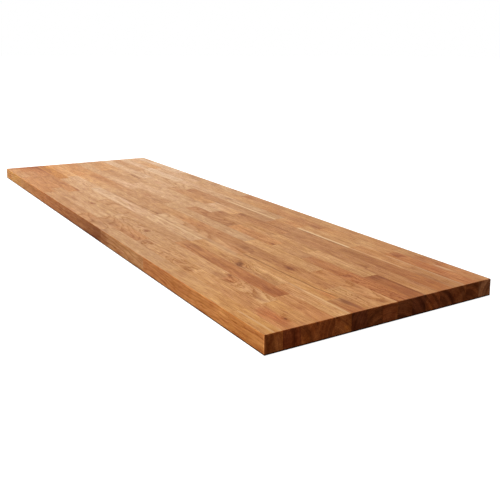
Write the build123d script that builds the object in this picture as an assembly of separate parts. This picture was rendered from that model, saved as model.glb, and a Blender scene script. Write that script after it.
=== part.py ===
"""Butcher block countertop: a solid oak worktop glued up from rows of short staves.

Origin at the middle of the underside, +X along the length, +Y towards the back edge, +Z up. Millimetres.
Row 1 is the front row. Stave lengths run from the left-hand end of the board to the right-hand end.
"""

from build123d import *
import os
from itertools import cycle

# Driving sizes
length = 2000.0
thickness = 40.0
stave_width = 41.24
row_count = 15
glue_line = 0.1
arris_radius = 2.0

# Stave lengths of each row, front row first
rows = [
    [235, 325, 365, 215, 305, 423, 132],
    [115, 385, 500, 300, 302, 274, 124],
    [245, 345, 395, 247, 448, 183, 137],
    [335, 435, 230, 365, 481, 154],
    [300, 270, 485, 320, 412, 213],
    [310, 380, 365, 490, 373, 82],
    [300, 400, 160, 340, 325, 337, 138],
    [170, 480, 278, 212, 310, 300, 250],
    [240, 320, 455, 275, 230, 135, 150, 195],
    [130, 240, 330, 260, 150, 335, 175, 223, 157],
    [190, 290, 210, 310, 170, 270, 355, 205],
    [320, 440, 540, 120, 220, 360],
    [280, 320, 400, 290, 115, 235, 205, 155],
    [300, 340, 505, 305, 177, 103, 270],
    [455, 290, 210, 485, 280, 135, 145],
]

# Sizes that follow
row_pitch = stave_width + glue_line
width = row_count * stave_width + (row_count - 1) * glue_line


def stave_spans(stave_lengths):
    """Where each stave of a row starts and ends, laid end to end and cut off at the board's end.

    An offcut shorter than a stave is wide is no use, so the stave before it runs on to the end.
    """
    spans = []
    start = 0.0
    for stave_length in cycle(stave_lengths):
        end = start + stave_length
        if length - end < stave_width:
            spans.append((start, length))
            return spans
        spans.append((start, end))
        start = end + glue_line


def eased_board():
    """The finished board as one block, with all its outside edges lightly rounded."""
    block = Box(length, width, thickness, align=(Align.CENTER, Align.CENTER, Align.MIN))
    return fillet(block.edges(), arris_radius)


def stave(start, end, front):
    """One stave as planed, square on all sides, with its left-hand front corner at (start, front)."""
    section = Rectangle(stave_width, thickness, align=(Align.MIN, Align.MIN))
    lengthwise = Plane(origin=(start - length / 2, front, 0), x_dir=(0, 1, 0), z_dir=(1, 0, 0))
    return extrude(lengthwise * section, end - start)


def stave_row(row, board):
    """One row of staves, each trimmed to the finished board where it reaches an outside edge."""
    front = row * row_pitch - width / 2
    spans = stave_spans(rows[row % len(rows)])
    staves = [stave(start, end, front) & board for start, end in spans]
    return Compound(children=[piece.solid() for piece in staves])


os.makedirs("parts", exist_ok=True)
board = eased_board()
stave_count = 0
for row in range(row_count):
    laid = stave_row(row, board)
    stave_count += len(laid.solids())
    export_step(laid, f"parts/stave_row_{row + 1:02d}.step")
print(f"{row_count} rows, {stave_count} staves, {length:.0f} x {width:.0f} x {thickness:.0f} mm")
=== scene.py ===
# %% [markdown]
# # A butcher block countertop
#
# The real thing is a board of solid oak, two metres long, glued up from about a hundred short staves. Each
# stave was sawn from another plank, so each has its own tone, its own growth rings and sometimes a knot or a
# pale streak of sapwood. The board is planed flat, its outside edges are eased and the wood is oiled.
#
# So the work here is small in shape and large in surface. First the construction model is loaded. It says
# where every stave starts and ends, and nothing below may move or resize a stave.

import random
from math import cos, radians, sin

import bmesh
import bpy
from mathutils import Color, Euler, Matrix, Vector


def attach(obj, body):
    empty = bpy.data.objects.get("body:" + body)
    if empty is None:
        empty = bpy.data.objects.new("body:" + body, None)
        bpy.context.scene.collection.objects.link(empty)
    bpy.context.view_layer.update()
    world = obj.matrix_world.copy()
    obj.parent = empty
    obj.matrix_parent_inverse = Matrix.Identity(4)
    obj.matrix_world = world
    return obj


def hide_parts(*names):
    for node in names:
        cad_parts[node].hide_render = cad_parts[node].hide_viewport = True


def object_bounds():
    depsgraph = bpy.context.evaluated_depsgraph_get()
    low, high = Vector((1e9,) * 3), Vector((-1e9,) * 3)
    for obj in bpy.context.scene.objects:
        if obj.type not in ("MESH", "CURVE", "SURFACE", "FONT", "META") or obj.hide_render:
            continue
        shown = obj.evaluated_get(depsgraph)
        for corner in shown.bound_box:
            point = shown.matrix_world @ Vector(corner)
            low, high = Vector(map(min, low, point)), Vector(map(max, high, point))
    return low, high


scene = bpy.context.scene
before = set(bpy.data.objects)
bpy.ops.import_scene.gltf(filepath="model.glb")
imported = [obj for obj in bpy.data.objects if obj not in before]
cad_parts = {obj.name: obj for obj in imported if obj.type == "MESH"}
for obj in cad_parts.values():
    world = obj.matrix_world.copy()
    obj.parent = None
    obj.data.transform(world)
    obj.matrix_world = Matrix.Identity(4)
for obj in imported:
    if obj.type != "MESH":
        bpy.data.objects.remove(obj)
cad_low, cad_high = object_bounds()
board_low = Vector(cad_low)
board_high = Vector(cad_high)
print("board, metres:", [round(side, 3) for side in board_high - board_low])

# %% [markdown]
# ## Finding the staves
#
# The construction model keeps one node for each of the 15 rows, and a row holds 6 to 9 staves that don't
# touch, because the glue between them is left as a hairline gap. The places could be typed in again from a
# list, but a list goes wrong as soon as the board changes. Reading them back is safer: vertices that are
# joined by edges belong to the same stave, and a stave's box is all that has to be known about it.

# %% Read where each stave lies
millimetre = 0.001
weld_distance = 0.01 * millimetre


def joined_vertices(start):
    """All vertices that can be reached from this one along edges."""
    reached = {start}
    waiting = [start]
    while waiting:
        for edge in waiting.pop().link_edges:
            for vertex in edge.verts:
                if vertex not in reached:
                    reached.add(vertex)
                    waiting.append(vertex)
    return reached


def stave_boxes(node):
    """Lowest and highest corner of each stave in a row, from the left-hand end of the board."""
    copy = bmesh.new()
    copy.from_mesh(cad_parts[node].data)
    bmesh.ops.remove_doubles(copy, verts=copy.verts, dist=weld_distance)
    boxes = []
    left = set(copy.verts)
    while left:
        stave = joined_vertices(next(iter(left)))
        left -= stave
        low = Vector([min(vertex.co[axis] for vertex in stave) for axis in range(3)])
        high = Vector([max(vertex.co[axis] for vertex in stave) for axis in range(3)])
        boxes.append((low, high))
    copy.free()
    return sorted(boxes, key=lambda box: box[0].x)


row_nodes = sorted(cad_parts)
rows = [stave_boxes(node) for node in row_nodes]
print("rows:", len(rows), "staves:", sum(len(row) for row in rows))

# %% [markdown]
# ## The tone of each stave
#
# Oiled oak runs from pale straw through honey to dark red-brown. The tones could be drawn at random, but on
# this board the pattern of light and dark staves is what the eye remembers, so every stave gets its tone by
# name. The colours are written as a screen shows them and turned into the linear light that Blender reckons
# with.

# %% Name the tones


def linear(red, green, blue):
    """A screen colour, 0 to 255 a channel, as linear light with an alpha of 1."""
    on_screen = Color([channel / 255 for channel in (red, green, blue)])
    return [*on_screen.from_srgb_to_scene_linear(), 1]


tones = {
    "cream": linear(202, 160, 110),
    "straw": linear(199, 152, 100),
    "flax": linear(208, 152, 87),
    "gold": linear(200, 144, 82),
    "wheat": linear(193, 145, 91),
    "barley": linear(198, 137, 69),
    "tan": linear(187, 138, 84),
    "honey": linear(191, 135, 74),
    "amber": linear(190, 128, 67),
    "fawn": linear(181, 129, 75),
    "cinnamon": linear(180, 120, 63),
    "rust": linear(182, 112, 55),
    "sienna": linear(186, 118, 59),
    "russet": linear(179, 116, 50),
    "hazel": linear(174, 117, 63),
    "chestnut": linear(173, 103, 46),
    "umber": linear(167, 109, 55),
    "walnut": linear(159, 92, 39),
    "butterscotch": linear(214, 147, 72),
    "toffee": linear(205, 139, 73),
    "ginger": linear(191, 118, 60),
    "clove": linear(168, 103, 52),
    "coffee": linear(140, 80, 35),
    "biscuit": linear(188, 127, 70),
    "copper": linear(207, 130, 61),
    "bark": linear(147, 73, 23),
    "cocoa": linear(136, 64, 19),
    "nutmeg": linear(128, 60, 20),
    "mahogany": linear(118, 50, 15),
    "pecan": linear(114, 54, 17),
    "peat": linear(107, 50, 16),
    "bog": linear(94, 41, 13),
    "ash": linear(140, 80, 36),
}
print("tones:", len(tones))

# %% [markdown]
# Row 1 is the front row, and each line runs from the left-hand end to the right-hand end. A stave that
# changes along its length has two names, like tan>gold. The front edge took the oil in its own way and has a
# line to itself, and the other long sides are a little warmer than the top. The sawn ends drank so much oil
# that each row has a deep tone of its own there.

# %% Lay the tones out
board_plan = """
cinnamon>fawn cinnamon fawn hazel>fawn tan tan>barley barley
chestnut>cinnamon hazel>cinnamon fawn>wheat fawn>cinnamon fawn>honey gold>amber amber>sienna
walnut>cinnamon umber>cinnamon tan wheat>fawn tan>gold cinnamon>gold barley>amber
russet wheat fawn tan>fawn cinnamon>chestnut amber>sienna
amber>gold straw>wheat cream>straw wheat honey amber>flax
honey>amber gold>tan tan>fawn tan>cinnamon honey>barley cinnamon>chestnut
cinnamon>honey cinnamon>fawn fawn fawn>honey cinnamon>hazel umber>amber honey>amber
tan tan>straw tan>fawn tan tan honey amber
tan>honey fawn>tan straw>wheat hazel amber honey>hazel cinnamon>chestnut rust>chestnut
fawn>honey honey>wheat tan>wheat wheat>tan wheat hazel>honey honey gold>honey walnut
cream wheat>cream wheat>straw fawn>honey straw>gold hazel>cinnamon hazel>cinnamon cinnamon>amber
tan>fawn wheat>tan hazel>fawn cinnamon>hazel hazel>cinnamon umber>chestnut
cream>straw cream straw>tan wheat>tan honey>amber honey>gold amber cinnamon
straw>gold straw wheat>honey cinnamon amber>honey gold>amber sienna>rust
cream wheat>tan wheat hazel>honey honey>amber honey>cinnamon rust>amber
"""
front_edge_plan = "butterscotch toffee>ginger ginger>clove clove>coffee biscuit ginger>copper copper"
end_plan = "bark mahogany cocoa cocoa bark bog pecan nutmeg peat bog nutmeg peat pecan pecan ash"
top_tones = [line.split() for line in board_plan.strip().splitlines()]
front_edge_tones = front_edge_plan.split()
end_tones = end_plan.split()
warming = (1.04, 0.84, 0.56)


def tone_pair(words):
    """The tones at the two ends of a stave, from one or two names."""
    names = words.split(">")
    return tones[names[0]], tones[names[-1]]


def edge_tone_pair(row, stave):
    """The tones of a stave's long side, which is a little warmer than its top."""
    if row == 1:
        return tone_pair(front_edge_tones[stave - 1])
    return tuple(
        [channel * factor for channel, factor in zip(tone, warming)] + [1]
        for tone in tone_pair(top_tones[row - 1][stave - 1])
    )


print("tones laid on the top:", sum(len(line) for line in top_tones))

# %% [markdown]
# ## How each stave was sawn
#
# The pattern on a stave depends on where it sat in the tree. Straight above the pith the saw runs along the
# rings and they show as broad arches. Beside the pith it crosses them, and they show as fine straight lines.
# A picture of grain could be laid on each face, but then the top, the edge and the end wouldn't agree. Here
# every stave is told where its pith was instead, and one solid pattern of rings round that line gives all
# six faces at once. Most places are drawn at random from a fixed seed. The staves with arches, and those
# whose rings ripple, are listed, with 1 for the strongest ripple.

# %% Choose the place of the pith for each stave
sawing = random.Random(11)
arched_staves = {(2, 4), (2, 5), (3, 4), (3, 6), (8, 7), (9, 4), (9, 8), (4, 3), (1, 4), (12, 2), (6, 4)}
figured_staves = {
    (3, 3): 0.5,
    (3, 4): 0.6,
    (3, 5): 0.5,
    (3, 6): 0.5,
    (2, 5): 0.5,
    (5, 5): 0.7,
    (7, 7): 0.7,
    (8, 7): 0.3,
    (9, 8): 0.8,
    (15, 3): 0.5,
    (11, 6): 0.5,
    (11, 8): 0.6,
    (5, 3): 0.4,
    (12, 4): 0.5,
}
pith_distance = (55, 130)
lean_beside_pith = (38, 82)
lean_above_pith = (-9, 9)
slope_of_lines = (0.004, 0.012)
slope_of_arches = (0.02, 0.05)
slant_spread = 0.018


def pith_line(row, stave, box):
    """Slope of the pith along the board, then its y and z at the middle of the board, in metres."""
    distance = sawing.uniform(*pith_distance) * millimetre
    lean = radians(sawing.uniform(*lean_beside_pith)) * sawing.choice((-1, 1))
    slope = sawing.uniform(*slope_of_lines) * sawing.choice((-1, 1))
    if (row, stave) in arched_staves:
        lean = radians(sawing.uniform(*lean_above_pith))
        slope = sawing.uniform(*slope_of_arches) * sawing.choice((-1, 1))
    middle = (box[0] + box[1]) / 2
    pith_y = middle.y + distance * sin(lean)
    pith_z = middle.z - distance * cos(lean) - slope * middle.x
    return Vector((slope, pith_y, pith_z))


def run_of_grain():
    """How far the grain runs aside for each metre along the stave. Few staves are sawn quite true."""
    return sawing.gauss(0, slant_spread)


print("staves with arches:", len(arched_staves), "with ripples:", len(figured_staves))

# %% [markdown]
# ## Knots, stains and streaks
#
# A few marks are big enough to be seen across a room: dark knots, smoky stains where a branch ran close
# below, thin mineral lines, and pale bands where a stave reached into the sapwood. They could be scattered
# by chance too, but a board is known by its marks, so they are listed the way a joiner would call them out:
# by row, by distance from the left-hand end in millimetres, and by how far across the stave they lie, with 0
# at its front side and 1 at its back side. Radii, reaches and widths are in millimetres too.

# %% List the knots and the streaks
knots = [  # row, along, across, radius, darkness
    (9, 1512, 0.30, 5.0, 0.8),
    (7, 1701, 0.35, 5.0, 0.65),
    (5, 1612, 0.44, 8.0, 0.6),
    (3, 1676, 0.80, 4.0, 0.6),
    (2, 1955, 0.90, 3.5, 1.0),
    (3, 805, 0.20, 5.0, 0.5),
    (3, 1219, 0.62, 4.0, 0.4),
]
streaks = [  # row, from, to, across at its start and at its end, half width, pale above 0 or dark below
    (1, 1868, 2000, 0.50, 0.55, 2.5, 0.40),
    (1, 1990, 2000, 0.95, 0.95, 2.0, 0.60),
    (4, 1380, 1560, 0.40, 0.08, 2.0, -0.50),
    (5, 40, 300, 0.92, 0.92, 2.5, 0.40),
    (5, 570, 900, 0.18, 0.18, 3.0, 0.50),
    (5, 1055, 1375, 0.88, 0.88, 4.0, 0.50),
    (5, 1400, 1580, 0.92, 0.92, 2.5, 0.35),
    (5, 1787, 2000, 0.90, 0.90, 3.0, 0.40),
    (6, 690, 1055, 0.02, 0.30, 2.0, -0.80),
    (6, 1055, 1545, 0.35, 0.10, 9.0, 0.30),
    (6, 1550, 1850, 0.57, 0.66, 3.0, -0.70),
    (6, 1845, 1918, 0.64, 0.90, 3.0, -0.65),
    (8, 1990, 2000, 0.95, 0.95, 2.0, 0.60),
    (10, 1843, 2000, 0.88, 0.88, 2.5, -0.45),
    (10, 1990, 2000, 0.96, 0.96, 1.5, 0.60),
    (11, 1170, 1440, 0.78, 0.92, 3.0, -0.50),
    (12, 1420, 1640, 0.94, 0.94, 2.5, -0.40),
    (13, 300, 600, 0.15, 0.15, 5.0, 0.40),
    (13, 1000, 1290, 0.10, 0.10, 3.5, 0.75),
    (13, 1405, 1640, 0.06, 0.06, 4.5, 1.00),
    (13, 1640, 1845, 0.08, 0.08, 2.5, 0.30),
    (13, 1740, 1845, 0.92, 0.92, 2.0, 0.40),
    (13, 1845, 2000, 0.92, 0.92, 2.0, 0.40),
    (15, 1855, 1915, 0.12, 0.16, 4.5, 0.45),
]
print("knots:", len(knots), "streaks:", len(streaks))

# %% [markdown]
# A stain multiplies the wood's colour by a dye, which may also make it paler. Most stains lie in the top. One
# that also has a slope and a depth lies that many millimetres below the top: on the front edge where its
# across is 0, and on the sawn end where it is 1998 mm along.

# %% List the stains
dyes = {
    "brown": (0.66, 0.52, 0.45),
    "red": (0.90, 0.66, 0.56),
    "smoke": (0.60, 0.51, 0.48),
    "pale": (1.20, 1.30, 1.45),
    "gold": (1.12, 1.08, 0.80),
}
stains = {  # along, across, reach along, reach across, strength, and maybe slope and depth
    "brown": {
        1: [(5, 0.5, 30, 26, 0.4), (550, 0.7, 22, 5, 0.6), (700, 0.75, 80, 12, 0.4),
            (755, 0.1, 50, 8, 0.4), (1100, 0.0, 50, 15, 0.5, 0, 30), (1155, 0.0, 60, 32, 0.9, 0, 20),
            (1840, 0.35, 40, 12, 0.35), (1998, 0.3, 8, 5, 0.7, 0, 20)],
        2: [(5, 0.5, 40, 26, 0.8), (255, 0.5, 30, 14, 0.4), (670, 0.5, 90, 14, 0.35),
            (1240, 0.2, 80, 12, 0.6), (1285, 0.45, 25, 10, 0.6), (1320, 0.08, 50, 6, 0.5),
            (1460, 0.6, 40, 9, 0.3), (1585, 0.35, 50, 10, 0.4), (1850, 0.6, 22, 14, 0.4)],
        3: [(10, 0.6, 50, 26, 0.9), (70, 0.85, 90, 12, 0.9), (220, 0.8, 80, 9, 0.5),
            (425, 0.6, 30, 12, 0.7), (560, 0.85, 60, 7, 0.6), (990, 0.7, 22, 10, 0.6),
            (1222, 0.55, 18, 10, 0.5), (1480, 0.3, 30, 8, 0.6), (1610, 0.25, 50, 9, 0.4),
            (1665, 0.35, 40, 14, 0.6), (1842, 0.35, 35, 14, 0.35)],
        4: [(5, 0.4, 50, 26, 0.6), (120, 0.35, 90, 14, 0.6), (255, 0.5, 22, 8, 0.6),
            (312, 0.55, 22, 12, 0.6), (540, 0.4, 60, 9, 0.5), (1600, 0.3, 60, 16, 0.4),
            (1620, 0.95, 90, 7, 0.4), (1750, 0.5, 60, 22, 0.5), (1820, 0.5, 40, 24, 0.7)],
        5: [(370, 0.1, 90, 8, 0.4), (575, 0.5, 20, 16, 0.4), (1330, 0.05, 110, 7, 0.4),
            (1640, 0.08, 45, 6, 0.6), (1755, 0.15, 60, 12, 0.6), (1820, 0.7, 35, 10, 0.4),
            (1850, 0.08, 70, 6, 0.5)],
        6: [(1045, 0.45, 22, 16, 0.6), (1430, 0.2, 60, 10, 0.4), (1590, 0.5, 40, 5, 0.6),
            (1940, 0.8, 25, 8, 0.4)],
        7: [(150, 0.6, 70, 8, 0.4), (370, 0.4, 60, 14, 0.25), (800, 0.3, 60, 8, 0.3),
            (970, 0.2, 50, 8, 0.5), (1130, 0.3, 25, 5, 0.6), (1240, 0.35, 20, 6, 0.4),
            (1320, 0.15, 40, 5, 0.6), (1500, 0.35, 25, 14, 0.8), (1541, 0.3, 8, 6, 0.6),
            (1618, 0.12, 24, 8, 0.6), (1700, 0.38, 26, 10, 0.6), (1825, 0.2, 12, 6, 0.6),
            (1850, 0.5, 30, 16, 0.2)],
        8: [(860, 0.2, 60, 12, 0.4), (1905, 0.4, 20, 12, 0.4), (1978, 0.4, 14, 14, 0.6)],
        9: [(480, 0.8, 80, 10, 0.3), (740, 0.6, 60, 10, 0.25), (1120, 0.4, 25, 7, 0.5),
            (1235, 0.3, 30, 8, 0.5), (1260, 0.1, 60, 6, 0.5), (1275, 0.4, 22, 16, 0.6),
            (1410, 0.6, 80, 12, 0.35), (1430, 0.2, 90, 9, 0.4), (1815, 0.4, 20, 14, 0.5)],
        10: [(320, 0.8, 80, 8, 0.4), (430, 0.72, 80, 8, 1.0, -0.06), (622, 0.62, 22, 3, 0.8),
            (690, 0.6, 30, 4, 0.5), (1150, 0.6, 50, 20, 0.5), (1420, 0.4, 25, 4, 0.7),
            (1425, 0.7, 25, 4, 0.7), (1580, 0.85, 60, 9, 0.5)],
        11: [(360, 0.8, 120, 12, 0.3), (600, 0.05, 70, 7, 0.5), (975, 0.3, 25, 8, 0.7),
            (1185, 0.7, 30, 10, 0.7), (1785, 0.5, 14, 12, 0.35), (1950, 0.9, 80, 10, 0.5)],
        12: [(400, 0.65, 110, 10, 0.3), (790, 0.4, 40, 18, 0.35), (990, 0.1, 40, 8, 0.5),
            (1270, 0.6, 45, 12, 0.5)],
        13: [(220, 0.75, 120, 10, 0.3), (970, 0.65, 40, 9, 0.7), (1930, 0.15, 80, 10, 0.5),
            (1998, 0.15, 8, 14, 0.5, 0, 22)],
        14: [(180, 0.35, 50, 10, 0.4), (280, 0.1, 50, 8, 0.4), (450, 0.08, 110, 8, 0.4),
            (1410, 0.2, 25, 3, 0.6), (1430, 0.4, 40, 14, 0.8), (1762, 0.55, 18, 12, 0.9, 0.3)],
        15: [(540, 0.5, 60, 12, 0.4), (570, 0.15, 14, 3, 0.8), (610, 0.1, 45, 6, 0.8),
            (735, 0.3, 30, 10, 0.4), (1800, 0.1, 50, 8, 0.5)],
    },
    "red": {
        1: [(65, 0.0, 30, 14, 0.7, 0, 24), (865, 0.2, 50, 10, 0.4), (1272, 0.0, 22, 10, 0.6, 0, 32)],
        2: [(1925, 0.5, 55, 24, 0.9)],
        3: [(1700, 0.55, 30, 20, 0.5)],
        4: [(1050, 0.5, 60, 14, 0.3)],
        6: [(1890, 0.6, 40, 12, 0.6)],
        7: [(1180, 0.4, 60, 16, 0.4)],
        8: [(770, 0.3, 40, 14, 0.4), (1800, 0.5, 60, 20, 0.15)],
        9: [(1680, 0.6, 60, 14, 0.3)],
        10: [(1950, 0.5, 50, 12, 0.3)],
        11: [(590, 0.4, 40, 12, 0.3), (790, 0.4, 60, 14, 0.3), (1570, 0.6, 60, 14, 0.15)],
        12: [(60, 0.7, 60, 10, 0.4)],
        13: [(1350, 0.5, 30, 10, 0.4)],
        14: [(1870, 0.5, 60, 16, 0.4)],
        15: [(1000, 0.3, 40, 12, 0.5), (1820, 0.4, 50, 20, 0.6)],
    },
    "smoke": {
        1: [(820, 0.0, 220, 7, 0.8, 0, 39), (1030, 0.0, 150, 8, 1.0, 0, 39), (1075, 0.6, 70, 22, 0.4)],
        2: [(1075, 0.25, 70, 16, 0.4)],
        4: [(1420, 0.75, 70, 12, 0.5)],
        5: [(1612, 0.35, 30, 9, 0.9, -0.55)],
        6: [(1955, 0.75, 40, 8, 0.9), (1998, 0.2, 8, 16, 0.5, 0, 28)],
        7: [(1998, 0.1, 8, 12, 0.4, 0, 24)],
        9: [(262, 0.85, 40, 7, 0.6)],
        10: [(1860, 0.6, 30, 20, 0.4), (1998, 0.7, 8, 14, 0.6, 0, 26)],
        12: [(1998, 0.85, 8, 14, 0.5, 0, 20)],
        14: [(1740, 0.6, 14, 14, 0.25), (1998, 0.2, 8, 18, 0.6, 0, 20)],
        15: [(1930, 0.97, 60, 6, 0.6)],
    },
    "pale": {
        1: [(160, 0.1, 30, 9, 0.5), (1828, 0.0, 20, 6, 0.5, 0, 9), (1998, 0.66, 8, 12, 0.7, 0, 18)],
        2: [(460, 0.1, 50, 7, 0.4)],
        3: [(170, 0.05, 50, 8, 0.5), (920, 0.5, 30, 14, 0.4), (1768, 0.4, 18, 12, 0.4)],
        5: [(1200, 0.5, 60, 14, 0.3), (1520, 0.75, 60, 10, 0.7), (1710, 0.85, 80, 10, 1.5),
            (1998, 0.8, 8, 9, 0.6, 0, 12)],
        7: [(125, 0.1, 35, 14, 0.4), (520, 0.4, 45, 14, 0.5), (1260, 0.1, 50, 8, 0.4)],
        8: [(570, 0.8, 30, 12, 0.4), (1250, 0.6, 70, 12, 0.4), (1945, 0.5, 18, 12, 0.5)],
        9: [(1500, 0.9, 25, 10, 0.7)],
        11: [(1920, 0.08, 90, 9, 0.5), (1998, 0.25, 8, 12, 0.8, 0, 31)],
        12: [(20, 0.4, 25, 20, 0.4), (200, 0.9, 110, 9, 0.5), (430, 0.92, 100, 8, 0.4),
            (1050, 0.85, 50, 9, 0.9)],
        13: [(720, 0.75, 70, 9, 0.5), (870, 0.8, 60, 8, 0.4), (1998, 0.75, 8, 8, 0.8, 0, 20)],
        14: [(1260, 0.95, 110, 8, 0.6)],
        15: [(200, 0.5, 90, 16, 0.35), (440, 0.5, 35, 14, 0.4), (470, 0.6, 16, 12, 0.5),
            (1250, 0.1, 110, 9, 0.5), (1785, 0.8, 45, 10, 0.5), (1880, 0.12, 35, 8, 0.6),
            (1998, 0.6, 8, 14, 0.25, 0, 18)],
    },
    "gold": {
        3: [(1998, 0.3, 8, 12, 0.8, 0, 28)],
        4: [(60, 0.85, 50, 10, 0.6)],
        5: [(70, 0.1, 60, 12, 0.6), (1998, 0.75, 8, 9, 1.0, 0, 28)],
        11: [(1998, 0.3, 8, 12, 1.0, 0, 31)],
    },
}
print("stains:", sum(len(marks) for by_row in stains.values() for marks in by_row.values()))

# %% [markdown]
# The material can't look up a list. It gets room for a few marks on every stave instead, each with its
# centre, its size and its colour. The room that a stave doesn't need is filled with marks that lie far away.

# %% Turn the marks into values for a stave
most_stains = 5
most_streaks = 2
far_away = -9
no_knot = {"knot": Vector((far_away, far_away, millimetre)), "darkness": 0.0}
no_stain = (Vector((far_away, far_away, far_away)), Vector((millimetre, millimetre, 0)), Vector((1, 1, 1)))
no_streak = (Vector((far_away, 0, millimetre)), Vector((far_away, far_away + 1, 0)))


def place_on_board(along, across, box):
    """A mark's x and y in the board's frame, in metres."""
    return board_low.x + along * millimetre, box[0].y + across * (box[1].y - box[0].y)


def is_on(box, along):
    """Whether a distance from the left-hand end of the board falls on this stave."""
    return box[0].x <= board_low.x + along * millimetre < box[1].x


def knot_values(row, box):
    """The knot's x and y with its radius, and how dark it is."""
    for knot_row, along, across, radius, darkness in knots:
        if knot_row == row and is_on(box, along):
            x, y = place_on_board(along, across, box)
            return {"knot": Vector((x, y, radius * millimetre)), "darkness": darkness}
    return no_knot


def stain_values(box, dye_or_painted_light, along, across, reach_along, reach_across, strength, slope=0, depth=0):
    """The stain's centre, its reach along and across with its slope, and the factor of its dye."""
    x, y = place_on_board(along, across, box)
    centre = Vector((x, y, board_high.z - depth * millimetre))
    factor = Vector([1 + strength * (channel - 1) for channel in dyes[dye_or_painted_light]])
    return centre, Vector((reach_along * millimetre, reach_across * millimetre, slope)), factor


def streak_values(box, start, end, across_start, across_end, half_width, paleness):
    """Where the streak crosses x = 0, its slope and half width, then its start, its end and its colour."""
    start_x, start_y = place_on_board(start, across_start, box)
    end_x, end_y = place_on_board(end, across_end, box)
    slope = (end_y - start_y) / (end_x - start_x)
    line = Vector((start_y - slope * start_x, slope, half_width * millimetre))
    return line, Vector((start_x, end_x, paleness))


def all_stain_values(row, box):
    """The values of every stain on a stave."""
    found = [
        stain_values(box, dye_or_painted_light, *mark)
        for dye_or_painted_light, by_row in stains.items()
        for mark in by_row.get(row, [])
        if is_on(box, mark[0])
    ]
    found += [no_stain] * (most_stains - len(found))
    values = {}
    for number, (centre, reach, dye_or_painted_light) in enumerate(found, start=1):
        values[f"stain_{number}"] = centre
        values[f"stain_{number}_reach"] = reach
        values[f"stain_{number}_dye"] = dye_or_painted_light
    return values


def all_streak_values(row, box):
    """The values of every streak on a stave."""
    found = [
        streak_values(box, start, end, *rest)
        for streak_row, start, end, *rest in streaks
        if streak_row == row and is_on(box, (start + end) / 2)
    ]
    found += [no_streak] * (most_streaks - len(found))
    values = {}
    for number, (line, span) in enumerate(found, start=1):
        values[f"streak_{number}"] = line
        values[f"streak_{number}_span"] = span
    return values


print("room on each stave for", most_stains, "stains and", most_streaks, "streaks")

# %% [markdown]
# ## Modelling a stave
#
# A planed stave is a square block. It could stay a plain cube, but the board's outside edges are rounded by
# a pass of the router, and that thin round line catches the light all the way along. An edge is on the
# outside when both of its faces are, so the bevel picks those edges and leaves the glued ones sharp.

# %% Model one stave
arris_radius = 2 * millimetre
arris_segments = 5
touching = 0.05 * millimetre


def is_outside(face):
    """Whether a face lies on one of the six outside planes of the board."""
    middle = face.calc_center_median()
    return any(
        min(middle[axis] - board_low[axis], board_high[axis] - middle[axis]) < touching for axis in range(3)
    )


def model_stave(low, high):
    """A closed block from its lowest to its highest corner, with the board's outside edges eased."""
    block = bmesh.new()
    bmesh.ops.create_cube(block, size=1)
    bmesh.ops.scale(block, vec=high - low, verts=block.verts)
    bmesh.ops.translate(block, vec=(low + high) / 2, verts=block.verts)
    eased = [edge for edge in block.edges if all(is_outside(face) for face in edge.link_faces)]
    bmesh.ops.bevel(
        block,
        geom=eased,
        offset=arris_radius,
        segments=arris_segments,
        profile=0.5,
        affect="EDGES",
        material=-1,
    )
    return block


print("outside edges rounded to", arris_radius / millimetre, "mm")

# %% [markdown]
# ## Telling the material what it needs to know
#
# Everything that differs from stave to stave is written on the stave's own vertices as attributes: its tone,
# its pith line, its marks and a seed for the chance part of the grain. One material can then serve the whole
# board and still make a hundred different pieces of wood. A row's staves are collected into one mesh, the
# way the construction model has them. The sawn ends get a material of their own, because end grain soaks up
# oil and stays dull.

# %% Write the growth of a stave on its vertices
seeds = random.Random(5)
seed_spread = 50


def growth_of(row, stave, box):
    """The named values that the wood of one stave is grown from."""
    return {
        "tone": tone_pair(top_tones[row - 1][stave - 1]),
        "edge_tone": edge_tone_pair(row, stave),
        "end_tone": tone_pair(end_tones[row - 1]),
        "pith": pith_line(row, stave, box),
        "slant": run_of_grain(),
        "figure": figured_staves.get((row, stave), 0.0),
        "seed": seeds.uniform(0, seed_spread),
        **knot_values(row, box),
        **all_stain_values(row, box),
        **all_streak_values(row, box),
    }


def layer_for(mesh, name, value):
    """The vertex layer that holds values of this kind, made where it is missing."""
    layers = mesh.verts.layers
    kinds = {tuple: layers.float_color, Vector: layers.float_vector, float: layers.float}
    kind = kinds[type(value)]
    return kind.get(name) or kind.new(name)


def value_at(value, share):
    """A value at a share of the way along the stave. A pair of tones is blended, the rest stays as it is."""
    if not isinstance(value, tuple):
        return value
    return [left + (right - left) * share for left, right in zip(*value)]


def write_growth(block, growth, box):
    """Writes the values on every vertex of a stave."""
    for name, value in growth.items():
        layer = layer_for(block, name, value)
        for vertex in block.verts:
            vertex[layer] = value_at(value, (vertex.co.x - box[0].x) / (box[1].x - box[0].x))


# %% Give each face the material that its direction asks for
face_slot = 0
end_slot = 1
edge_slot = 2
eased_end_from = 0.15
side_from = 0.7


def slot_of(face):
    """The long grain on top and below, the sawn ends, or the long edges.

    The eased edge along an end is cut across the fibres too, so end grain shows on nearly all of it.
    """
    lengthwise, sideways, upright = [abs(part) for part in face.normal]
    if lengthwise > side_from or (lengthwise > eased_end_from and upright > sideways):
        return end_slot
    if sideways > side_from:
        return edge_slot
    return face_slot


def mark_materials(block):
    """Writes the material's slot on each face of a stave."""
    block.normal_update()
    for face in block.faces:
        face.material_index = slot_of(face)


# %% [markdown]
# ## Building the rows
#
# The shading is smooth over the rounded edges and sharp along the glue lines. Plain smooth shading would
# bend the light over the big flat faces as well, so a Weighted Normal modifier lets the large faces decide.

# %% Build and place the rows
sharp_angle = radians(40)


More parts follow.
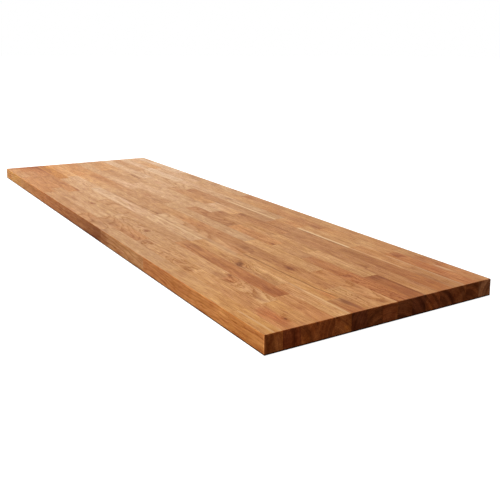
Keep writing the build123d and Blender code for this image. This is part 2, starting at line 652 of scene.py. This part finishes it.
def build_row(number, node, boxes):
    """One row of staves as a piece that stands for its node."""
    name = f"oak_row_{number:02d}"
    mesh = bpy.data.meshes.new(name)
    gathered = bmesh.new()
    for stave, box in enumerate(boxes, start=1):
        block = model_stave(*box)
        mark_materials(block)
        write_growth(block, growth_of(number, stave, box), box)
        block.to_mesh(mesh)
        block.free()
        gathered.from_mesh(mesh)
    gathered.to_mesh(mesh)
    gathered.free()
    mesh.shade_smooth()
    mesh.set_sharp_from_angle(angle=sharp_angle)
    row = bpy.data.objects.new(name, mesh)
    scene.collection.objects.link(row)
    row.modifiers.new("flat faces stay flat", "WEIGHTED_NORMAL").keep_sharp = True
    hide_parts(node)
    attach(row, "root")
    return row


oak_rows = [build_row(number, *placed) for number, placed in enumerate(zip(row_nodes, rows), start=1)]
print("faces:", sum(len(row.data.polygons) for row in oak_rows))

# %% [markdown]
# ## Small words for building materials
#
# A node tree in code is a long list of nodes and links. A few short helpers keep it readable: one adds any
# node, some do arithmetic, two fade a value between limits, and two make stretched noise. Oak fibres run
# along the board, so nearly every pattern below is noise that is stretched many times along X.

# %% Helpers for single nodes


def put(tree, kind, inputs, output=0, **settings):
    """Adds a node, sets or links its inputs, and returns one of its outputs."""
    node = tree.nodes.new("ShaderNode" + kind)
    for name, value in settings.items():
        setattr(node, name, value)
    for key, value in inputs.items():
        if isinstance(value, bpy.types.NodeSocket):
            tree.links.new(value, node.inputs[key])
        else:
            node.inputs[key].default_value = value
    return node.outputs[output]


def send(tree, values, sockets):
    """Links each value to the socket that has its name."""
    for name, value in values.items():
        tree.links.new(value, sockets[name])


def calc(tree, operation, first, second=0.0):
    """Arithmetic on two values."""
    return put(tree, "Math", {0: first, 1: second}, operation=operation)


def add(tree, first, second):
    """The sum of two values."""
    return calc(tree, "ADD", first, second)


def minus(tree, first, second):
    """The first value less the second."""
    return calc(tree, "SUBTRACT", first, second)


def times(tree, first, second):
    """The product of two values."""
    return calc(tree, "MULTIPLY", first, second)


def over(tree, first, second):
    """The first value divided by the second."""
    return calc(tree, "DIVIDE", first, second)


def scaled(tree, value, factor, start):
    """The start, plus the value times a factor."""
    return put(tree, "Math", {0: value, 1: factor, 2: start}, operation="MULTIPLY_ADD")


def fade(tree, value, start, end, low=0.0, high=1.0):
    """Goes smoothly from low to high as the value goes from start to end."""
    limits = {"Value": value, "From Min": start, "From Max": end, "To Min": low, "To Max": high}
    return put(tree, "MapRange", limits, interpolation_type="SMOOTHSTEP")


def near(tree, distance, limits, most=1.0):
    """The most up to the first limit, fading to 0 at the second."""
    return fade(tree, distance, *limits, most, 0.0)


def parts_of(tree, vector):
    """The x, y and z of a vector."""
    split = tree.nodes.new("ShaderNodeSeparateXYZ")
    tree.links.new(vector, split.inputs[0])
    return split.outputs


def length_of(tree, x, y, z=0.0):
    """Length of the vector with these parts."""
    vector = put(tree, "CombineXYZ", {0: x, 1: y, 2: z})
    return put(tree, "VectorMath", {0: vector}, output="Value", operation="LENGTH")


# %% Helpers for noise


def multiplied(tree, vector, factors):
    """A vector multiplied part by part, which draws out a texture on a place, or dyes a colour."""
    return put(tree, "VectorMath", {0: vector, 1: factors}, operation="MULTIPLY")


def noise(tree, place, stretch, seed, detail=2.0, roughness=0.5):
    """Cloudy noise around 0.5, drawn out along the axes with a small stretch."""
    texture = {"Vector": multiplied(tree, place, stretch), "W": seed, "Scale": 1.0}
    texture.update({"Detail": detail, "Roughness": roughness})
    return put(tree, "TexNoise", texture, noise_dimensions="4D")


def sway(tree, place, stretch, seed, reach, detail=2.0):
    """Noise that swings about 0, by half the reach either way."""
    return scaled(tree, noise(tree, place, stretch, seed, detail), reach, -reach / 2)


# %% Helpers for node groups


def node_group(name, lay, vectors, floats=""):
    """A node group with these inputs, laid by a function that returns by name what the group gives."""
    tree = bpy.data.node_groups.new(name, "ShaderNodeTree")
    for kind, labels in (("Vector", vectors), ("Float", floats)):
        for label in labels.split():
            tree.interface.new_socket(label, in_out="INPUT", socket_type="NodeSocket" + kind)
    given = tree.nodes.new("NodeGroupInput").outputs
    results = lay(tree, *[given[label] for label in vectors.split() + floats.split()])
    for label, result in results.items():
        kind = "Vector" if result.type == "VECTOR" else "Float"
        tree.interface.new_socket(label, in_out="OUTPUT", socket_type="NodeSocket" + kind)
    send(tree, results, tree.nodes.new("NodeGroupOutput").inputs)
    print("nodes in the group for the", name + ":", len(tree.nodes))
    return tree


def place_group(tree, group, inputs):
    """Places a group in a tree and returns its outputs."""
    return put(tree, "Group", inputs, node_tree=group).node.outputs


# %% [markdown]
# ## Knots
#
# A knot is the foot of a branch: a hard dark core, and round it the rings of the trunk swell to make room.
# A dark disc alone looks like a spot of paint. So the group gives more than the core and its halo as masks.
# The swelling is a distance by which the rings grow outwards, and the push is how far the fibres are parted
# sideways, and both are used further down. The limits are in radii of the knot.

# %% Group for knots
knot_length = 2.2
knot_wobble = 0.8
wobble_stretch = (90, 200, 90)
core_limits = (0.25, 1.0)
halo_limits = (0.6, 3.2)
swell_limits = (0.0, 4.0)
push_limits = (0.5, 4.5)
knot_swell = 10 * millimetre
knot_push = -0.9


def lay_knot(tree, place, knot, seed):
    """The masks of a knot's core and halo, how far the rings swell and how far the fibres part."""
    x, y, _ = parts_of(tree, place)
    knot_x, knot_y, radius = parts_of(tree, knot)
    along = over(tree, over(tree, minus(tree, x, knot_x), radius), knot_length)
    to_side = minus(tree, y, knot_y)
    away = length_of(tree, along, over(tree, to_side, radius))
    away = add(tree, away, sway(tree, place, wobble_stretch, seed, knot_wobble))
    return {
        "Core": near(tree, away, core_limits),
        "Halo": near(tree, away, halo_limits),
        "Swell": near(tree, away, swell_limits, knot_swell),
        "Push": times(tree, to_side, near(tree, away, push_limits, knot_push)),
    }


knot_group = node_group("knot", lay_knot, "Place Knot", "Seed")

# %% [markdown]
# ## Stains and streaks
#
# A stain has no edge: it is a smoky patch, several times longer than it is wide, because colour creeps along
# the fibres. A mineral line or a band of sapwood is a thin line that runs nearly the whole stave, and wanders
# a little from side to side. Both are masks, and the colours come later.

# %% Group for stains
stain_limits = (0.25, 1.2)


def lay_stain(tree, place, centre, reach, fray):
    """The mask of a stain, frayed by a noise that all stains share."""
    offset = put(tree, "VectorMath", {0: place, 1: centre}, operation="SUBTRACT")
    off_x, off_y, off_z = parts_of(tree, offset)
    reach_along, reach_across, slope = parts_of(tree, reach)
    along = over(tree, off_x, reach_along)
    across = over(tree, minus(tree, off_y, times(tree, slope, off_x)), reach_across)
    away = length_of(tree, along, across, over(tree, off_z, reach_across))
    return {"Mask": near(tree, add(tree, away, fray), stain_limits)}


stain_group = node_group("stain", lay_stain, "Place Centre Reach", "Fray")

# %% Group for streaks
streak_wander = 3 * millimetre
streak_wander_stretch = (9, 0, 0)
streak_fade = 18 * millimetre
streak_limits = (0.4, 1.3)


def lay_streak(tree, place, line, span, seed):
    """The mask of a streak, which fades out at both its ends."""
    x, y, _ = parts_of(tree, place)
    crossing, slope, half_width = parts_of(tree, line)
    line_y = add(tree, crossing, times(tree, slope, x))
    line_y = add(tree, line_y, sway(tree, place, streak_wander_stretch, seed, streak_wander))
    off_line = calc(tree, "ABSOLUTE", minus(tree, y, line_y))
    mask = near(tree, over(tree, off_line, half_width), streak_limits)
    start, end, _ = parts_of(tree, span)
    for inside in (minus(tree, x, start), minus(tree, end, x)):
        mask = times(tree, mask, fade(tree, inside, -streak_fade, streak_fade))
    return {"Mask": mask}


streak_group = node_group("streak", lay_streak, "Place Line Span", "Seed")

# %% [markdown]
# ## The run of the grain
#
# Grain that runs dead straight looks like printed foil. In a real stave it leans a little to one side,
# wanders as the tree did, and parts round a knot. Bending every pattern by itself would pull them apart, so
# one group bends the place, and all later patterns are laid on the bent place.

# %% Group for the run of the grain
wanders = [  # stretch of the noise, and its reach
    ((2.5, 6, 6), 16 * millimetre),
    ((12, 30, 30), 4 * millimetre),
]


def lay_grain(tree, place, slant, push, seed):
    """The place, bent sideways as the grain runs."""
    x, y, z = parts_of(tree, place)
    bent = add(tree, y, times(tree, x, slant))
    for stretch, reach in wanders:
        bent = add(tree, bent, sway(tree, place, stretch, seed, reach, 1.0))
    return {"Place": put(tree, "CombineXYZ", {"X": x, "Y": add(tree, bent, push), "Z": z})}


grain_group = node_group("run of the grain", lay_grain, "Place", "Slant Push Seed")

# %% [markdown]
# ## Growth rings
#
# Each year an oak lays down a band of wide open vessels in spring and then dense wood in summer. The rings
# are cylinders round the pith, so the distance from the pith line, counted in ring widths, says everything:
# its whole part is the year, and its fraction is the season. A little slow noise keeps the rings from being
# too round, a quick one makes them ripple on some staves, and the swelling from a knot is added to the
# distance.

# %% Group for growth rings
ring_width = 2.8 * millimetre
ring_wander = 10 * millimetre
ring_wander_stretch = (5, 14, 14)
ripple_height = 8 * millimetre
ripple_stretch = (60, 110, 110)
uneven_years = 2.2
uneven_years_stretch = (0.4, 0, 0)
spring_limits = (0.05, 0.5)
band = {"stretch": (6, 100, 0), "detail": 3.0}


def lay_rings(tree, place, pith, swell, figure, seed):
    """The open spring wood, the broad bands, and the place as a radius and a turn round the pith."""
    x, y, z = parts_of(tree, place)
    slope, pith_y, pith_z = parts_of(tree, pith)
    across = minus(tree, y, pith_y)
    height = minus(tree, z, add(tree, pith_z, times(tree, slope, x)))
    radius = add(tree, length_of(tree, across, height), swell)
    radius = add(tree, radius, sway(tree, place, ring_wander_stretch, seed, ring_wander))
    ripple = sway(tree, place, ripple_stretch, seed, ripple_height)
    radius = add(tree, radius, times(tree, ripple, figure))
    years = over(tree, radius, ring_width)
    by_year = put(tree, "CombineXYZ", {"X": years})
    years = add(tree, years, sway(tree, by_year, uneven_years_stretch, seed, uneven_years, 1.0))
    return {
        "Spring": near(tree, calc(tree, "FRACT", years), spring_limits),
        "Band": noise(tree, put(tree, "CombineXYZ", {"X": x, "Y": radius}), seed=seed, **band),
        "Radius": radius,
        "Turn": calc(tree, "ARCTAN2", across, height),
    }


ring_group = node_group("growth rings", lay_rings, "Place Pith", "Swell Figure Seed")

# %% [markdown]
# ## Vessels, rays and fibres
#
# Close up, three things say oak and not some other wood. The vessels of the spring bands are cut open as
# short dark dashes, or as dots on the end. The rays are thin sheets that stand out from the pith: cut along,
# they shine as broad flecks, cut across, they are fine dark lines, and on the end they fan out. And the
# fibres make faint streaks everywhere. Each is a solid pattern with the right stretch along X.

# %% Group for vessels, rays and fibres
vessel_stretch = (150, 1700, 1700)
vessel_size = 0.10
spring_vessel_growth = 0.32
ray = {"stretch": (70, 1100, 45), "detail": 1.0}
ray_limits = (0.62, 0.72)
fleck = {"stretch": (38, 330, 330), "detail": 1.0}
fleck_limits = (0.60, 0.72)
fibre = {"stretch": (22, 300, 300), "detail": 3.0, "roughness": 0.75}
streak = {"stretch": (9, 130, 130), "detail": 4.0, "roughness": 0.65}
mottle = {"stretch": (22, 60, 60), "detail": 2.0}


def lay_fine(tree, place, spring, radius, turn, seed):
    """The masks of the fine parts of oak."""
    cells = {"Vector": multiplied(tree, place, vessel_stretch), "W": seed, "Scale": 1.0}
    to_vessel = put(tree, "TexVoronoi", cells, voronoi_dimensions="4D")
    opened = scaled(tree, spring, spring_vessel_growth, vessel_size)
    x, _, _ = parts_of(tree, place)
    sheets = put(tree, "CombineXYZ", {"X": x, "Y": times(tree, turn, radius), "Z": radius})
    return {
        "Vessel": calc(tree, "LESS_THAN", to_vessel, opened),
        "Ray": fade(tree, noise(tree, sheets, seed=seed, **ray), *ray_limits),
        "Fibre": noise(tree, place, seed=seed, **fibre),
        "Streak": noise(tree, place, seed=seed, **streak),
        "Fleck": fade(tree, noise(tree, place, seed=seed, **fleck), *fleck_limits),
        "Mottle": noise(tree, place, seed=seed, **mottle),
    }


fine_group = node_group("fine parts", lay_fine, "Place", "Spring Radius Turn Seed")

# %% [markdown]
# ## Painted shade and highlight on the rim of the board
#
# The rounded edges get light and shade painted into their colour: the lower rim is painted nearly black as
# shade, the far rims of the top are painted dim as shade, and the upright corner in front gets a painted
# highlight. The masks come from the place alone, and stay out of the big faces.

# %% Group for the rim
rim_limits = (1.0 * millimetre, 3.2 * millimetre)
lower_rim_limits = (2.2 * millimetre, 4.8 * millimetre)


def lay_painted_rim(tree, place):
    """The masks where shade is painted on the lower rim and the far rims of the top, and a highlight on the
    corner in front.
    """
    x, y, z = parts_of(tree, place)
    right, back, upper = [
        near(tree, minus(tree, plane, value), rim_limits) for plane, value in zip(board_high, (x, y, z))
    ]
    left = near(tree, minus(tree, x, board_low.x), rim_limits)
    front = near(tree, minus(tree, y, board_low.y), rim_limits)
    lower = near(tree, minus(tree, z, board_low.z), lower_rim_limits)
    ends = calc(tree, "MAXIMUM", right, left)
    edges = calc(tree, "MAXIMUM", back, front)
    # Lower and Far are where shade is painted, Corner is where a highlight is painted.
    return {
        "Lower shade": times(tree, lower, calc(tree, "MAXIMUM", ends, edges)),
        "Far shade": times(tree, upper, calc(tree, "MAXIMUM", left, back)),
        "Corner highlight": times(tree, right, front),
    }


painted_rim_group = node_group("rim", lay_painted_rim, "Place")

# %% [markdown]
# ## The oak
#
# Now the patterns are laid over the stave's tone, from broad to fine: bands, streaks, rings, fibres, rays,
# vessels, and then the marks. Wood gets redder where it gets darker, so each pattern multiplies the colour by
# something between a dark and a light factor, channel by channel, and not by a plain number.

# %% Small steps for colour
mix_first = 6  # a Mix node has other sockets of the same names, so those for colours go by number
mix_second = 7
mix_result = 2


def grown(tree, name, kind="Vector"):
    """One of the values that are written on the staves."""
    return put(tree, "Attribute", {}, output=kind, attribute_name=name)


def tint(tree, colour, mask, other, **how):
    """Mixes another colour in where the mask is 1."""
    sockets = {"Factor": mask, mix_first: colour, mix_second: other}
    return put(tree, "Mix", sockets, output=mix_result, data_type="RGBA", **how)


def multiply_in(tree, colour, mask, dye_or_painted_light):
    """Multiplies a colour by a factor, channel by channel, where the mask is 1: a real dye, or the painted
    shade and highlight of the rim.
    """
    return tint(tree, colour, mask, dye_or_painted_light, blend_type="MULTIPLY")


def grade(tree, colour, amount, dark, light):
    """Multiplies a colour by a factor that goes from dark to light as the amount goes from 0 to 1."""
    return multiplied(tree, colour, tint(tree, (*dark, 1), amount, (*light, 1)))


# %% Lay the patterns, one inside the other


def lay_patterns(tree, at, figure):
    """The knot, the rings and the fine parts of the oak, from a place and a seed."""
    knot = place_group(tree, knot_group, {**at, "Knot": grown(tree, "knot")})
    run = {"Slant": grown(tree, "slant", "Fac"), "Push": knot["Push"]}
    bent = {"Place": place_group(tree, grain_group, {**at, **run})["Place"], "Seed": at["Seed"]}
    trunk = {"Pith": grown(tree, "pith"), "Swell": knot["Swell"], "Figure": figure}
    rings = place_group(tree, ring_group, {**bent, **trunk})
    round_pith = {name: rings[name] for name in ("Spring", "Radius", "Turn")}
    return knot, rings, place_group(tree, fine_group, {**bent, **round_pith})


# %% [markdown]
# How much a pattern shows is one line in a table: the value that it mostly has, where the colour stays as it
# is, and how far red, green and blue swing as it goes from 0 to 1. Blue swings most, so the dark parts are
# warm. Broad and close patterns each have a contrast of their own, which differs from face to end.

# %% Shade the wood by its patterns
shades = {  # pattern: its usual value, and the swing of red, green and blue
    "Band": (0.5, (0.46, 0.72, 1.10)),
    "Mottle": (0.5, (0.42, 0.65, 1.00)),
    "Streak": (0.5, (0.48, 0.76, 1.17)),
    "Fibre": (0.5, (1.20, 2.00, 3.00)),
    "Spring": (0.25, (-0.36, -0.58, -0.86)),
    "Ray": (0.1, (0.10, 0.13, 0.18)),
    "Vessel": (0.1, (-0.30, -0.44, -0.56)),
    "Fleck": (0.1, (-0.22, -0.38, -0.56)),
}
broad_patterns = ("Band", "Mottle")
spring_without_figure = 0.5


def shade_wood(tree, colour, patterns, broad, close):
    """The colour after every pattern has made it darker or lighter."""
    for name, (usual, swing) in shades.items():
        contrast = broad if name in broad_patterns else close
        dark = [1 - contrast * usual * share for share in swing]
        light = [1 + contrast * (1 - usual) * share for share in swing]
        colour = grade(tree, colour, patterns[name], dark, light)
    return colour


print("patterns that shade the wood:", len(shades))

# %% Draw the marks
knot_brown = linear(108, 54, 18)
knot_dye = (0.80, 0.66, 0.55, 1)
mineral_dye = (0.47, 0.31, 0.20, 1)
sapwood_share = 0.75
fray_stretch = (22, 130, 130)
stain_fray = 1.4
# Painted light on the rim: painted shade darkens the lower rim nearly to black and dims the far rims of the
# top, and a painted highlight lightens the upright corner in front.
painted_rim_light = {"Lower shade": (0.10, 0.08, 0.08, 1), "Far shade": (0.45, 0.42, 0.40, 1), "Corner highlight": (1.60, 1.70, 1.90, 1)}


def draw_streaks(tree, colour, at, pale_wood):
    """The colour with the streaks of a stave: sapwood where they are pale, minerals where they are dark."""
    for number in range(1, most_streaks + 1):
        span = grown(tree, f"streak_{number}_span")
        line = {"Line": grown(tree, f"streak_{number}"), "Span": span}
        mask = place_group(tree, streak_group, {**at, **line})["Mask"]
        paleness = parts_of(tree, span)[2]
        pale = times(tree, mask, calc(tree, "MAXIMUM", paleness, 0.0))
        darkness = times(tree, calc(tree, "MINIMUM", paleness, 0.0), -1.0)
        dark = times(tree, mask, darkness)
        colour = tint(tree, colour, times(tree, pale, sapwood_share), pale_wood)
        colour = multiply_in(tree, colour, dark, mineral_dye)
    return colour


def draw_stains(tree, colour, at):
    """The colour with the stains of a stave."""
    fray = sway(tree, at["Place"], fray_stretch, at["Seed"], stain_fray)
    for number in range(1, most_stains + 1):
        stain = {"Centre": grown(tree, f"stain_{number}"), "Reach": grown(tree, f"stain_{number}_reach")}
        mask = place_group(tree, stain_group, {"Place": at["Place"], "Fray": fray, **stain})["Mask"]
        colour = multiply_in(tree, colour, mask, grown(tree, f"stain_{number}_dye"))
    return colour


def draw_knot_and_painted_rim(tree, colour, place, knot):
    """The colour with the stave's knot, and with the painted shade and highlight of the board's rim where the
    stave has a share in it.
    """
    colour = multiply_in(tree, colour, knot["Halo"], knot_dye)
    core = times(tree, knot["Core"], grown(tree, "darkness", "Fac"))
    colour = tint(tree, colour, core, knot_brown)
    # The rim's painted shade and painted highlight are multiplied into the colour here.
    rim = place_group(tree, painted_rim_group, {"Place": place})
    for part, dye_or_painted_light in painted_rim_light.items():
        colour = multiply_in(tree, colour, rim[part], dye_or_painted_light)
    return colour


# %% Grow the wood inside a stave
darkest = (0.004, 0.002, 0.001)


def grow_wood(tree, tone, broad, close, pale_wood):
    """The colour of the wood, whichever way it is cut, with the masks of its rings and its fine parts."""
    place = put(tree, "TexCoord", {}, output="Object")
    at = {"Place": place, "Seed": grown(tree, "seed", "Fac")}
    figure = grown(tree, "figure", "Fac")
    knot, rings, fine = lay_patterns(tree, at, figure)
    clearness = scaled(tree, figure, 1 - spring_without_figure, spring_without_figure)
    spring = times(tree, clearness, rings["Spring"])
    patterns = {**dict(fine.items()), "Band": rings["Band"], "Spring": spring}
    colour = shade_wood(tree, grown(tree, tone, "Color"), patterns, broad, close)
    colour = draw_streaks(tree, colour, at, pale_wood)
    colour = draw_stains(tree, colour, at)
    colour = draw_knot_and_painted_rim(tree, colour, place, knot)
    colour = put(tree, "VectorMath", {0: colour, 1: darkest}, operation="MAXIMUM")
    return colour, rings, fine


def new_material(name):
    """A material with its node tree and its shader."""
    material = bpy.data.materials.new(name)
    material.use_nodes = True
    return material, material.node_tree, material.node_tree.nodes["Principled BSDF"]


# %% [markdown]
# The faces of the board are long grain, with a thin satin coat of oil. The vessels stay a little open, so
# they are dull and sunken, while a ray is as smooth as glass. The two long edges are the same wood, but they
# were sanded less finely and took more oil, so they are warmer in colour and have less shine.

# %% Long grain
sapwood = linear(238, 205, 160)
oiled_roughness = 0.42
fibre_roughness = 0.16
vessel_roughness = 0.25
ray_smoothness = 0.08
fibre_relief = 0.35
spring_relief = 0.25
relief_strength = 0.25
relief_depth = 0.12 * millimetre


def make_long_grain(name, tone, broad, shine):
    """A material for wood that is cut along its fibres."""
    material, tree, shader = new_material(name)
    colour, rings, fine = grow_wood(tree, tone, broad, 1.0, sapwood)
    roughness = scaled(tree, fine["Fibre"], fibre_roughness, oiled_roughness)
    roughness = add(tree, roughness, times(tree, fine["Vessel"], vessel_roughness))
    roughness = minus(tree, roughness, times(tree, fine["Ray"], ray_smoothness))
    relief = times(tree, fine["Fibre"], fibre_relief)
    relief = minus(tree, relief, fine["Vessel"])
    relief = minus(tree, relief, times(tree, rings["Spring"], spring_relief))
    bump = put(tree, "Bump", {"Height": relief, "Strength": relief_strength, "Distance": relief_depth})
    send(tree, {"Base Color": colour, "Roughness": roughness, "Normal": bump}, shader.inputs)
    shader.inputs["Specular IOR Level"].default_value = shine
    return material


oak_face = make_long_grain("oiled oak", "tone", broad=1.0, shine=0.075)
oak_edge = make_long_grain("oiled edge", "edge_tone", broad=0.8, shine=0.012)
print("nodes in the long grain:", len(oak_face.node_tree.nodes))

# %% [markdown]
# The sawn ends show the fibres head on. They drink the oil, so the wood turns deep red-brown there and loses
# its shine, and the rings and rays stand out more than on the faces. Some staves drink more than others.

# %% End grain
soaked_sapwood = linear(156, 86, 34)
end_contrasts = (2.4, 1.1)
end_band_limits = (0.3, 0.7)
end_band_light = (0.70, 1.28)
end_roughness = 0.70
end_vessel_roughness = 0.15
end_shine = 0.02
end_relief_strength = 0.4
end_relief_depth = 0.15 * millimetre


def make_end_grain():
    """A material for wood that is cut across its fibres."""
    material, tree, shader = new_material("oiled end grain")
    colour, rings, fine = grow_wood(tree, "end_tone", *end_contrasts, soaked_sapwood)
    light = fade(tree, rings["Band"], *end_band_limits, *end_band_light)
    colour = put(tree, "VectorMath", {0: colour, "Scale": light}, operation="SCALE")
    roughness = scaled(tree, fine["Vessel"], end_vessel_roughness, end_roughness)
    relief = {"Height": fine["Vessel"], "Strength": end_relief_strength, "Distance": end_relief_depth}
    bump = put(tree, "Bump", relief, invert=True)
    send(tree, {"Base Color": colour, "Roughness": roughness, "Normal": bump}, shader.inputs)
    shader.inputs["Specular IOR Level"].default_value = end_shine
    return material


finishes = {face_slot: oak_face, end_slot: make_end_grain(), edge_slot: oak_edge}
for row in oak_rows:
    for slot in sorted(finishes):
        row.data.materials.append(finishes[slot])
print("finishes on a row:", [finish.name for finish in oak_rows[0].data.materials])

# %% [markdown]
# ## Floor, light and camera
#
# The board lies on a plain white floor. White could be had by pouring light on it, but that would bleach
# the wood. So the floor and the world add their white only where the camera or a reflection looks at them,
# and the floor keeps a plain diffuse part that takes the board's shadow.

# %% Floor
floor_reach = 30.0
floor_dim = 0.12
floor_bright = 0.50
floor_glow = 0.93


def seen_directly(tree):
    """1 where a camera, mirror or glass ray looks, and 0 for the rays that only carry light about."""
    rays = tree.nodes.new("ShaderNodeLightPath").outputs
    seen = calc(tree, "MAXIMUM", rays["Is Camera Ray"], rays["Is Glossy Ray"])
    return calc(tree, "MAXIMUM", seen, rays["Is Transmission Ray"])


def make_floor():
    """A wide flat sheet just under the board."""
    sheet = bmesh.new()
    bmesh.ops.create_grid(sheet, x_segments=1, y_segments=1, size=floor_reach)
    bmesh.ops.translate(sheet, vec=(0, 0, board_low.z), verts=sheet.verts)
    mesh = bpy.data.meshes.new("floor")
    sheet.to_mesh(mesh)
    sheet.free()
    floor = bpy.data.objects.new("floor", mesh)
    scene.collection.objects.link(floor)
    return floor


def make_floor_white():
    """A material that is white to look at and throws only a little light back at the board."""
    material, tree, shader = new_material("white floor")
    seen = seen_directly(tree)
    base = fade(tree, seen, 0.0, 1.0, floor_dim, floor_bright)
    glow = times(tree, seen, floor_glow)
    send(tree, {"Base Color": base, "Emission Strength": glow}, shader.inputs)
    shader.inputs["Roughness"].default_value = 1.0
    shader.inputs["Specular IOR Level"].default_value = 0.0
    shader.inputs["Emission Color"].default_value = (1, 1, 1, 1)
    return material


floor = make_floor()
floor.data.materials.append(make_floor_white())
print("floor, metres:", floor.dimensions.x)

# %% World
soft_fill = 0.32
world = bpy.data.worlds.new("studio")
scene.world = world
world.use_nodes = True
backdrop = world.node_tree.nodes["Background"]
backdrop.inputs["Color"].default_value = (1, 1, 1, 1)
seen = seen_directly(world.node_tree)
world_light = fade(world.node_tree, seen, 0.0, 1.0, soft_fill, 1.0)
world.node_tree.links.new(world_light, backdrop.inputs["Strength"])
print("soft fill from all sides:", soft_fill)

# %% [markdown]
# One large soft box lights the top from the far left. It leaves the front edge and the right-hand end in
# shade, so each gets a low and weak lamp of its own, which also brings out the end grain.

# %% Lamps
lamps = [  # name, place, aim, side in metres, power in watts
    ("key", (-2.5, -2.0, 4.2), (-0.1, 0, 0), 2.2, 255),
    ("low front fill", (0.9, -2.2, 0.35), (0.9, -0.3, 0), 0.6, 9),
    ("low end fill", (3.2, 0, 0.15), (1, 0, 0), 0.6, 8),
]


def add_lamp(name, place, aim, side, power):
    """A square soft box at a place, turned towards its aim."""
    light = bpy.data.lights.new(name, "AREA")
    light.size = side
    light.energy = power
    lamp = bpy.data.objects.new(name, light)
    lamp.location = place
    lamp.rotation_euler = (Vector(aim) - Vector(place)).to_track_quat("-Z", "Y").to_euler()
    scene.collection.objects.link(lamp)


for lamp in lamps:
    add_lamp(*lamp)
print("lamps:", len(lamps))

# %% [markdown]
# The camera stands in front of the right-hand end, a little above the board, and looks along it. Its place
# and angles were worked out from the edges of the board that show. The lens is written as the distance of the
# picture plane in pixels of a 500 pixel frame, which is how such a sum comes out, and the middle of the lens
# lies above the middle of the frame, because the frame was cropped from a larger one.

# %% Camera
frame_width_px = 500
picture_distance_px = 697.68
picture_middle_px = (256.98, 149.40)
camera_place = (2.0111, -0.9723, 0.5617)
camera_heading = 57.585
camera_down = 8.411
camera_roll = 0.630
sensor_width_mm = 36
furthest_seen = 100

camera_data = bpy.data.cameras.new("camera")
camera_data.sensor_width = sensor_width_mm
camera_data.lens = sensor_width_mm * picture_distance_px / frame_width_px
camera_data.shift_x = (frame_width_px / 2 - picture_middle_px[0]) / frame_width_px
camera_data.shift_y = (picture_middle_px[1] - frame_width_px / 2) / frame_width_px
camera_data.clip_end = furthest_seen
camera = bpy.data.objects.new("camera", camera_data)
turned = Euler((radians(90 - camera_down), 0, radians(camera_heading))).to_matrix()
turned = turned @ Matrix.Rotation(radians(camera_roll), 3, "Z")
camera.matrix_world = Matrix.Translation(camera_place) @ turned.to_4x4()
scene.collection.objects.link(camera)
scene.camera = camera
scene.view_settings.view_transform = "Standard"
print("lens, millimetres:", round(camera_data.lens, 1))
